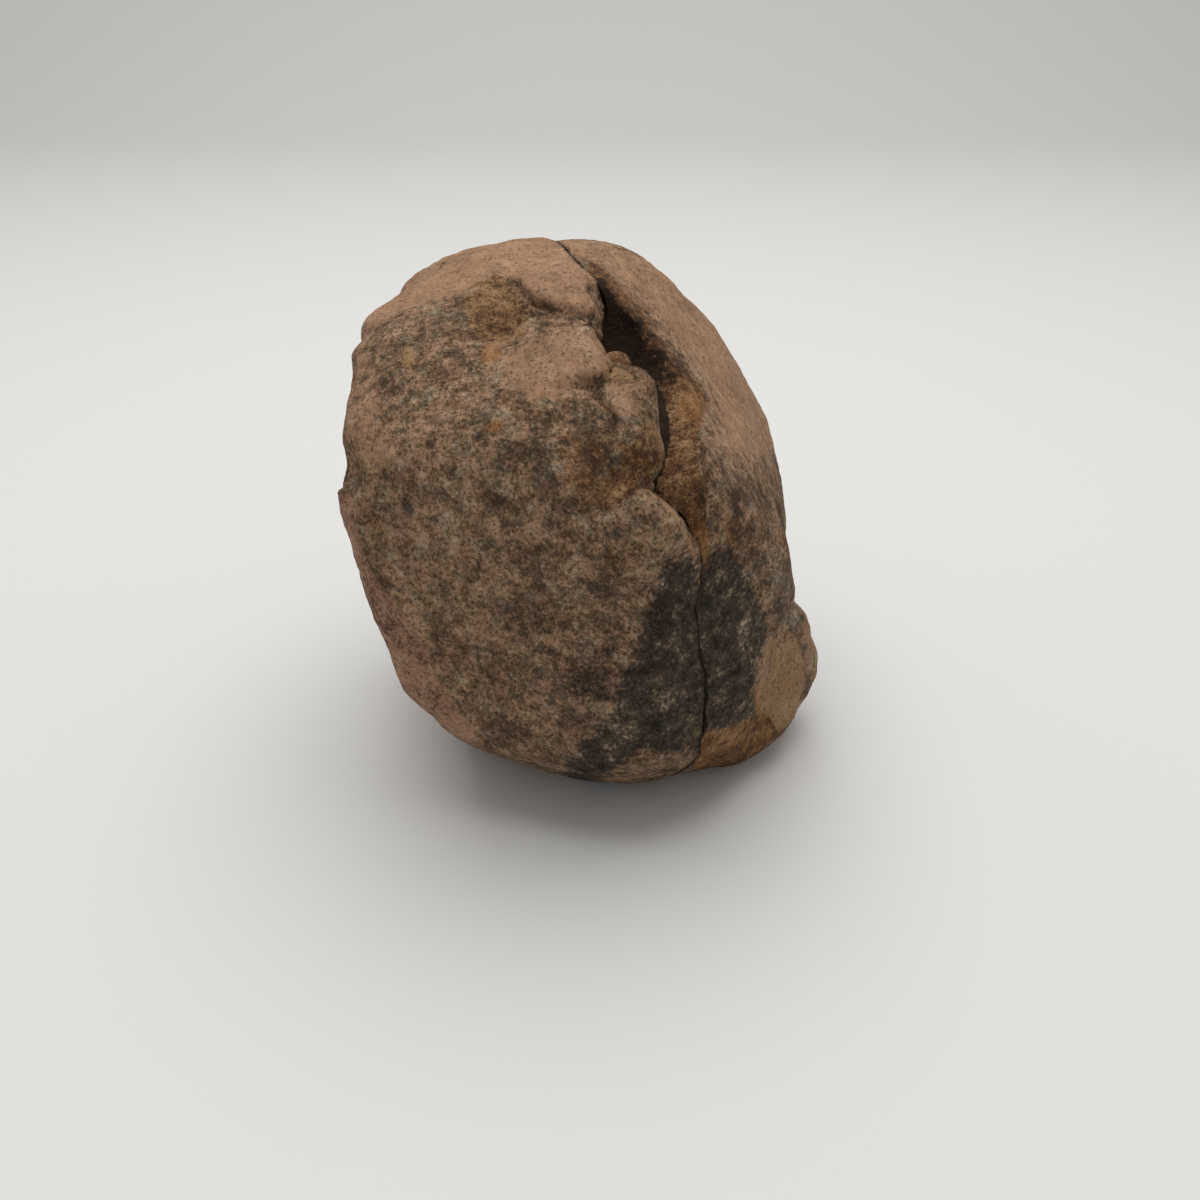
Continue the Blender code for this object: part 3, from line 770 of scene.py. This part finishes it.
def close_crack(stone, other_tree):
    """Brings the lips of the crack together, which the fine cells have rounded off."""
    points = points_of(stone)
    places, distances = nearest_places(points, other_tree)
    share = 1.0 - smoothstep(distances, CLOSED_CRACK, OPEN_CRACK)
    step = share * (distances - LIP_GAP) / distances
    set_points(stone, points + (places - points) * step[:, None])


def wander(stone, other_tree):
    """Lets the lower crack wander from side to side, by the same amount on both halves."""
    points = points_of(stone)
    share = 1.0 - smoothstep(distances_to(points, other_tree), *WANDER_REACH)
    share *= 1.0 - smoothstep(points[:, 2], *WANDER_TOP)
    for seed, (size, width) in enumerate(WANDER):
        points[:, 0] += share * width * waves(points_of(stone), size, WANDER_SEED + seed)
    set_points(stone, points)


def skin_group(stone, other_tree):
    """A vertex group of the outer skin, which fades out on the crack's faces and at the ground."""
    points, normals = points_of(stone), vectors_of(stone, "normal")
    places, distances = nearest_places(points, other_tree)
    facing = np.sum(normals * (places - points), axis=1) / distances
    share = np.maximum(smoothstep(distances, *CRACK_FADE), 1.0 - smoothstep(facing, *FACING_FADE))
    share *= smoothstep(points[:, 2], *GROUND_FADE)
    group = stone.vertex_groups.new(name="skin")
    for index, weight in enumerate(share):
        group.add((index,), float(weight), "REPLACE")
    return group.name


def rough_skin(stone, shape, other_tree):
    """Gives the outer skin its slow waves, knobs and coarse grain."""
    group = skin_group(stone, other_tree)
    for name, size, rise in (
        ("slow waves", shape.slow_size, shape.slow_rise),
        ("knobs", shape.knob_size, shape.knob_rise),
        ("grain", shape.grain_size, shape.grain_rise),
    ):
        texture = bpy.data.textures.new(name, "CLOUDS")
        texture.noise_scale = size
        texture.noise_depth = SKIN_DEPTH
        apply(stone, name, "DISPLACE", texture=texture, strength=rise, mid_level=0.5, vertex_group=group)
        bpy.data.textures.remove(texture)


def pull(stone, pulls):
    """Pulls places of the stone towards the outline of the real one."""
    points = points_of(stone)
    for _, place, radius, move in pulls:
        away = np.linalg.norm(points - np.array(place) * MM, axis=1)
        points += bump(away, radius * MM)[:, None] * np.array(move) * MM
    set_points(stone, points)


def groove_share(places, per_mm, line, width):
    """1 on a groove's line, fading out over its width."""
    return np.exp(-((along_line(places, line)[0] / per_mm / width) ** 2))


def carve(stone, half, trees):
    """Draws the grooves, ledges and mounds of this half's visible face."""
    points, normals = points_of(stone), vectors_of(stone, "normal")
    places, scale = photo_places(points)
    per_mm = scale * MM
    seen = seen_share(points, trees)
    rise = np.zeros(len(points))
    for _, outline, edge, height in MOUNDS[half]:
        rise += height * rounded(depth_inside(places, outline) / per_mm / edge)
    for _, line, edge, reach, height in LEDGES[half]:
        distance, side, from_end = along_line(places, line)
        fade = np.exp(-((distance / per_mm / reach) ** 2)) * smoothstep(from_end / per_mm, 0.0, LEDGE_END)
        rise += height * rounded(side / per_mm / edge) * fade
    for _, line, width, depth in GROOVES[half]:
        rise -= depth * groove_share(places, per_mm, line, width)
    set_points(stone, points + normals * (rise * seen * MM)[:, None])


def keep_in_box(stone, node):
    """Keeps the stone inside its CAD half's box, and flat on the ground."""
    low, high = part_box(node)
    points = points_of(stone)
    resting = points[:, 2] < low[2] + RESTING_HEIGHT
    points = np.clip(points, np.array(low) + BOX_MARGIN, np.array(high) - BOX_MARGIN)
    points[resting, 2] = low[2]
    set_points(stone, points)


def paint_masks(stone, half, trees, other_tree):
    """Stores how much of each finish and of the painted shade there is at each point, and how near the other
    half is, for the crack's painted shade.
    """
    points = points_of(stone)
    places, scale = photo_places(points)
    per_mm = scale * MM
    seen = seen_share(points, trees)
    masks = {finish: np.zeros(len(points)) for finish in FINISHES}
    for finish, outline, softness, strength in PATCHES[half]:
        inside = smoothstep(depth_inside(places, outline) / per_mm, -softness, softness)
        masks[finish] = np.maximum(masks[finish], strength * inside * seen)
    # Painted shade along each groove, darker for deeper grooves.
    for _, line, width, depth in GROOVES[half]:
        shade = min(1.0, GROOVE_SHADE * depth) * seen * groove_share(places, per_mm, line, width)
        masks["painted_shade"] = np.maximum(masks["painted_shade"], shade)
    for index, (finish, place, radius, strength) in enumerate(BLOTCHES[half]):
        away = np.linalg.norm(points - np.array(place) * MM, axis=1) / (radius * MM)
        ragged = away + BLOTCH_RAG * waves(points, BLOTCH_WAVE, BLOTCH_SEED * index)
        share = strength * (1.0 - smoothstep(ragged, *BLOTCH_FADE)) * (1.0 - seen)
        masks[finish] = np.maximum(masks[finish], share)
    # Where the crack's painted shade goes: close to the other half.
    masks["inside"] = 1.0 - smoothstep(distances_to(points, other_tree), *CRACK_REACH)
    for name, share in masks.items():
        attribute = stone.data.attributes.new(name, "FLOAT", "POINT")
        attribute.data.foreach_set("value", share.astype(np.float32))


class Paints:
    """The nodes of one material, made one after another from places on the stone to the shader."""

    def __init__(self, name):
        self.material = bpy.data.materials.new(name)
        self.material.use_nodes = True
        self.tree = self.material.node_tree
        self.shader = self.tree.nodes["Principled BSDF"]
        self.here = self.node("ShaderNodeTexCoord").outputs["Object"]

    def node(self, kind, **settings):
        """Adds a node."""
        made = self.tree.nodes.new(kind)
        for key, value in settings.items():
            setattr(made, key, value)
        return made

    def link(self, value, socket):
        """Links a node's output to a socket, or sets the socket to a plain number or colour."""
        if isinstance(value, bpy.types.NodeSocket):
            self.tree.links.new(value, socket)
        elif hasattr(value, "__len__") and len(value) == 3 and socket.type == "RGBA":
            socket.default_value = (*value, 1.0)
        else:
            socket.default_value = value

    def noise(self, size, seed, detail, rough, where=None):
        """Noise of this size, on the stone's own places or on drawn-out ones."""
        made = self.node("ShaderNodeTexNoise", noise_dimensions="4D")
        self.link(where or self.here, made.inputs["Vector"])
        for name, value in (("W", seed), ("Scale", 1.0 / size), ("Detail", detail), ("Roughness", rough)):
            made.inputs[name].default_value = value
        return made.outputs["Fac"]

    def clouds(self, name):
        """Clouds of noise with a narrow soft edge."""
        grain, edge = CLOUDS[name]
        return self.band(self.noise(*grain), *edge)

    def specks(self, size, reach, share):
        """Crisp specks of uneven outline, in some of the cells of an even scatter."""
        warp = self.node("ShaderNodeTexNoise")
        self.link(self.here, warp.inputs["Vector"])
        warp.inputs["Scale"].default_value = SPECK_WAVES / size
        moved = self.node("ShaderNodeVectorMath", operation="MULTIPLY_ADD")
        self.link(warp.outputs["Color"], moved.inputs[0])
        moved.inputs[1].default_value = (size, size, size)
        self.link(self.here, moved.inputs[2])
        cells = self.node("ShaderNodeTexVoronoi")
        self.link(moved.outputs["Vector"], cells.inputs["Vector"])
        cells.inputs["Scale"].default_value = 1.0 / size
        near = self.band(cells.outputs["Distance"], reach, SPECK_EDGE * reach)
        picked = self.band(cells.outputs["Color"], 1.0 - share, 1.0 + SPECK_PICK - share)
        return self.math("MULTIPLY", near, picked)

    def streaked(self, turn, stretch):
        """Places on the stone, drawn out along a direction that leans from upright."""
        made = self.node("ShaderNodeMapping", vector_type="TEXTURE")
        self.link(self.here, made.inputs["Vector"])
        made.inputs["Rotation"].default_value = (0.0, turn, 0.0)
        made.inputs["Scale"].default_value = (1.0, 1.0, stretch)
        return made.outputs["Vector"]

    def mask(self, name):
        """How much of a finish was painted at each point."""
        return self.node("ShaderNodeAttribute", attribute_name=name).outputs["Fac"]

    def math(self, operation, first, second):
        made = self.node("ShaderNodeMath", operation=operation)
        self.link(first, made.inputs[0])
        self.link(second, made.inputs[1])
        return made.outputs[0]

    def band(self, value, low, high, top=1.0, bottom=0.0):
        """Rises smoothly from the bottom to the top value as the value goes from low to high."""
        made = self.node("ShaderNodeMapRange", interpolation_type="SMOOTHSTEP")
        self.link(value, made.inputs["Value"])
        for name, number in (("From Min", low), ("From Max", high), ("To Min", bottom), ("To Max", top)):
            made.inputs[name].default_value = number
        return made.outputs["Result"]

    def ramp(self, value, stops):
        """Colours one after another as the value rises."""
        made = self.node("ShaderNodeValToRGB")
        elements = made.color_ramp.elements
        elements[0].position, elements[1].position = stops[0][0], stops[-1][0]
        elements[0].color, elements[1].color = (*stops[0][1], 1.0), (*stops[-1][1], 1.0)
        for place, colour in stops[1:-1]:
            elements.new(place).color = (*colour, 1.0)
        self.link(value, made.inputs["Fac"])
        return made.outputs["Color"]

    def mix(self, share, first, second):
        made = self.node("ShaderNodeMix", data_type="RGBA")
        self.link(share, made.inputs["Factor"])
        self.link(first, made.inputs["A"])
        self.link(second, made.inputs["B"])
        return made.outputs["Result"]

    def centred(self, value, gain):
        """Noise round zero, made stronger or weaker."""
        return self.math("MULTIPLY", self.math("SUBTRACT", value, 0.5), gain)

    def ragged(self, name, strength=1.0):
        """A painted mask whose edge is broken up by noise."""
        edge = self.centred(self.noise(RAG_SIZE, len(name), RAG_DETAIL, RAG_ROUGHNESS), RAG_STRENGTH)
        return self.band(self.math("ADD", self.mask(name), edge), *RAG_BAND, strength)


def mottled_tone(paints, stretch):
    """How light the grain is at each place: grain of many sizes, drawn out in streaks in part, and darkened
    where painted shade and charcoal are painted.
    """
    even = paints.noise(*EVEN_GRAIN)
    drawn = paints.noise(*DRAWN_GRAIN, paints.streaked(DRAWN_LEAN, stretch))
    tone = paints.centred(even, TONE_GAIN * EVEN_SHARE)
    streaks = paints.centred(drawn, TONE_GAIN * DRAWN_SHARE)
    tone = paints.math("ADD", paints.math("ADD", tone, streaks), 0.5)
    tone = paints.math("ADD", tone, paints.centred(paints.noise(*BROAD_GRAIN), BROAD_GAIN))
    # The painted shade lowers the tone, and the charcoal patina lowers it a little.
    for finish, fall in DARK_FINISHES.items():
        tone = paints.math("SUBTRACT", tone, paints.math("MULTIPLY", paints.mask(finish), fall))
    return tone


def finish_colours(paints, tone, paint):
    """The colour of each painted finish, from its darkest to its lightest grains."""
    skin = paints.ramp(tone, ((0.00, paint.rust_shade), (0.22, paint.skin_shade), (0.54, paint.skin),
                              (0.98, paint.skin_light)))
    return {
        "charcoal": paints.ramp(tone, ((0.15, paint.soot), (0.49, paint.charcoal), (0.61, paint.shade),
                                       (0.73, paint.lichen), (0.87, paint.fleck))),
        "smooth": paints.mix(SKIN_CALM, skin, paint.skin),
        "rose": paints.ramp(tone, ((0.10, paint.rust_shade), (0.32, paint.rose_shade), (0.55, paint.rose),
                                   (0.85, paint.skin_light))),
        "ochre": paints.ramp(tone, ((0.15, paint.rust_shade), (0.36, paint.earth), (0.54, paint.ochre),
                                    (0.80, paint.skin))),
        "rust": paints.ramp(tone, ((0.20, paint.rust_shade), (0.50, paint.rust), (0.68, paint.ochre),
                                   (0.88, paint.pale))),
        "orange": paints.ramp(tone, ((0.20, paint.rust), (0.52, paint.orange), (0.85, paint.pale))),
        "pale": paints.ramp(tone, ((0.10, paint.ochre), (0.50, paint.pale), (0.85, paint.skin_light))),
        # Plain painted shade, with no grain.
        "soot": paint.soot,
    }


def stone_material(name, paint, stretch):
    """Weathered stone: grains of many tones, warm or grey in places, under the painted finishes and painted
    shade.
    """
    paints = Paints(name)
    tone = mottled_tone(paints, stretch)
    warm = paints.ramp(tone, ((0.16, paint.speck), (0.34, paint.brown), (0.50, paint.tan),
                              (0.65, paint.pink), (0.90, paint.fleck)))
    cool = paints.ramp(tone, ((0.16, paint.speck), (0.36, paint.shade), (0.52, paint.lichen),
                              (0.68, paint.ash), (0.90, paint.fleck)))
    finishes = finish_colours(paints, tone, paint)
    colour = paints.mix(paints.math("MAXIMUM", paints.clouds("grey"), paints.ragged("grey")), warm, cool)
    for finish in ("rose", "rust"):
        colour = paints.mix(paints.clouds(finish), colour, finishes[finish])
    for finish, painted in finishes.items():
        colour = paints.mix(paints.ragged(finish, FINISH_STRENGTH[finish]), colour, painted)
    rough = paints.math("SUBTRACT", 1.0, paints.mask("smooth"))
    pits = paints.specks(*PITS)
    dark = paints.math("MULTIPLY", paints.specks(*DARK_SPECKS), rough)
    freckles = paints.math("MULTIPLY", paints.clouds("freckles"), paints.mask("smooth"))
    colour = paints.mix(freckles, colour, paint.lichen)
    colour = paints.mix(paints.math("MULTIPLY", pits, PIT_STRENGTH), colour, paint.rust_shade)
    colour = paints.mix(paints.math("MULTIPLY", dark, DARK_STRENGTH), colour, paint.speck)
    # Painted shade along the crack.
    colour = paints.mix(paints.mask("inside"), colour, paint.crack_painted_shade)
    paints.link(colour, paints.shader.inputs["Base Color"])
    paints.shader.inputs["Specular IOR Level"].default_value = GLOSS
    add_relief(paints, tone, paints.math("ADD", pits, dark))
    return paints.material


def add_relief(paints, tone, pits):
    """Fine grain, with the dark grains and the pits sunk in, softer where the skin is smooth."""
    grain = paints.noise(*FINE_RELIEF)
    height = paints.math("MULTIPLY", grain, FINE_HEIGHT)
    for value, rise in ((paints.noise(*LUMP_RELIEF), LUMP_HEIGHT), (tone, TONE_HEIGHT), (pits, -PIT_DEPTH)):
        height = paints.math("ADD", height, paints.math("MULTIPLY", value, rise))
    made = paints.node("ShaderNodeBump")
    made.inputs["Distance"].default_value = MM
    calm = paints.math("MULTIPLY", paints.mask("smooth"), SMOOTH_CALM)
    paints.link(paints.math("SUBTRACT", 1.0, calm), made.inputs["Strength"])
    paints.link(height, made.inputs["Height"])
    paints.tree.links.new(made.outputs["Normal"], paints.shader.inputs["Normal"])
    smoothest, roughest = ROUGHNESS
    roughness = paints.band(grain, *GRAIN_BAND, roughest, smoothest)
    paints.link(roughness, paints.shader.inputs["Roughness"])


def finish_half(half, cell, stretch):
    """Makes one half of the stone: fine mesh, rough skin, carving and paint."""
    node = half + "_half"
    other = ("counterpart" if half == "positive" else "positive") + "_half"
    scene = bpy.context.scene
    trees = solid_trees()
    shape = scene.nodule_shape
    stone = fine_copy(node, half + "_stone", cell, shape.evening, trees[other], shape.kept_cells)
    melt(stone, MELTS[half], shape.melting)
    rough_skin(stone, shape, trees[other])
    pull(stone, PULLS[half])
    carve(stone, half, trees)
    close_crack(stone, trees[other])
    wander(stone, trees[other])
    keep_in_box(stone, node)
    paint_masks(stone, half, trees, trees[other])
    choose(stone)
    bpy.ops.object.shade_smooth()
    stone.data.materials.clear()
    stone.data.materials.append(stone_material(half + "_weathered_stone_and_painted_shade", scene.nodule_paint, stretch))
    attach(stone, "root")
    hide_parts(node)


class NODULE_OT_positive_half(bpy.types.Operator):
    """Works and paints the larger half, with the head's lumps in the gap"""

    bl_idname = "nodule.positive_half"
    bl_label = "Larger Half"

    def execute(self, context):
        shape = context.scene.nodule_shape
        finish_half("positive", shape.positive_cell, shape.positive_stretch)
        return {"FINISHED"}


class NODULE_OT_counterpart_half(bpy.types.Operator):
    """Works and paints the counterpart, with its rusty rim and its chipped foot"""

    bl_idname = "nodule.counterpart_half"
    bl_label = "Counterpart"

    def execute(self, context):
        shape = context.scene.nodule_shape
        finish_half("counterpart", shape.counterpart_cell, shape.counterpart_stretch)
        return {"FINISHED"}


def make_sweep(colour):
    """Floor that bends up into a backdrop behind the stone."""
    bpy.ops.object.select_all(action="DESELECT")
    bpy.ops.mesh.primitive_plane_add(size=1.0)
    sweep = bpy.context.object
    sweep.name = "studio_sweep"
    points = points_of(sweep)
    points[:, 0] *= 2 * FLOOR_HALF
    points[:, 1] = np.where(points[:, 1] > 0, SWEEP_START + SWEEP_BEND, FLOOR_FRONT)
    set_points(sweep, points)
    bpy.ops.object.mode_set(mode="EDIT")
    bpy.ops.mesh.select_all(action="DESELECT")
    bpy.ops.mesh.select_mode(type="EDGE")
    bpy.ops.object.mode_set(mode="OBJECT")
    for edge in sweep.data.edges:
        edge.select = all(sweep.data.vertices[i].co.y > 0 for i in edge.vertices)
    bpy.ops.object.mode_set(mode="EDIT")
    bpy.ops.mesh.extrude_region_move(TRANSFORM_OT_translate={"value": (0.0, 0.0, SWEEP_RISE)})
    bpy.ops.object.mode_set(mode="OBJECT")
    for edge in sweep.data.edges:
        ends = [sweep.data.vertices[i].co for i in edge.vertices]
        edge.select = all(end.y > 0 and end.z < SWEEP_RISE / 2 for end in ends)
    bpy.ops.object.mode_set(mode="EDIT")
    bpy.ops.mesh.bevel(offset=SWEEP_BEND, segments=SWEEP_STEPS, affect="EDGES")
    bpy.ops.object.mode_set(mode="OBJECT")
    bpy.ops.object.shade_smooth()
    material = bpy.data.materials.new("studio_paper")
    material.use_nodes = True
    shader = material.node_tree.nodes["Principled BSDF"]
    shader.inputs["Base Color"].default_value = (*colour, 1.0)
    shader.inputs["Roughness"].default_value = PAPER_ROUGHNESS
    sweep.data.materials.append(material)


def make_lights(studio):
    """A soft lamp overhead, and even light from the room."""
    bpy.ops.object.light_add(type="AREA", location=LAMP_PLACE)
    lamp = bpy.context.object
    lamp.name = "soft_lamp"
    lamp.data.shape = "DISK"
    lamp.data.size = studio.lamp_size
    lamp.data.energy = studio.lamp_power
    lamp.rotation_euler = (Vector(LAMP_PLACE) - Vector(LAMP_AIM)).to_track_quat("Z", "Y").to_euler()
    world = bpy.data.worlds.new("studio_room")
    world.use_nodes = True
    background = world.node_tree.nodes["Background"]
    background.inputs["Color"].default_value = SKY_COLOUR
    background.inputs["Strength"].default_value = studio.sky
    bpy.context.scene.world = world


def make_camera():
    """The camera, at the photograph's viewing angle."""
    bpy.ops.object.camera_add(location=CAMERA_PLACE, rotation=(CAMERA_PITCH, 0.0, 0.0))
    camera = bpy.context.object
    camera.name = "studio_camera"
    camera.data.lens = CAMERA_LENS
    camera.data.sensor_width = CAMERA_SENSOR
    camera.data.clip_start = 1.0 * MM
    bpy.context.scene.camera = camera


class NODULE_OT_studio(bpy.types.Operator):
    """Sets up the pale sweep, the soft lamp and the camera"""

    bl_idname = "nodule.studio"
    bl_label = "Studio"

    def execute(self, context):
        make_sweep(context.scene.nodule_studio.floor)
        make_lights(context.scene.nodule_studio)
        make_camera()
        context.scene.view_settings.view_transform = "Standard"
        return {"FINISHED"}


class NODULE_PT_panel(bpy.types.Panel):
    """Lists the nodule's pieces and the studio"""

    bl_idname = "NODULE_PT_panel"
    bl_label = "Trilobite Nodule"
    bl_space_type = "VIEW_3D"
    bl_region_type = "UI"
    bl_category = "Nodule"

    def draw(self, context):
        for operator in OPERATORS:
            self.layout.operator(operator.bl_idname)


OPERATORS = (NODULE_OT_positive_half, NODULE_OT_counterpart_half, NODULE_OT_studio)
SETTINGS = {"nodule_shape": NoduleShape, "nodule_paint": NodulePaint, "nodule_studio": NoduleStudio}


def register():
    for group in SETTINGS.values():
        bpy.utils.register_class(group)
    for name, group in SETTINGS.items():
        setattr(bpy.types.Scene, name, bpy.props.PointerProperty(type=group))
    for made in (*OPERATORS, NODULE_PT_panel):
        bpy.utils.register_class(made)


def unregister():
    for made in (NODULE_PT_panel, *OPERATORS):
        bpy.utils.unregister_class(made)
    for name, group in SETTINGS.items():
        delattr(bpy.types.Scene, name)
        bpy.utils.unregister_class(group)


def main():
    register()
    bpy.ops.nodule.positive_half()
    bpy.ops.nodule.counterpart_half()
    bpy.ops.nodule.studio()


if __name__ == "__main__":
    main()
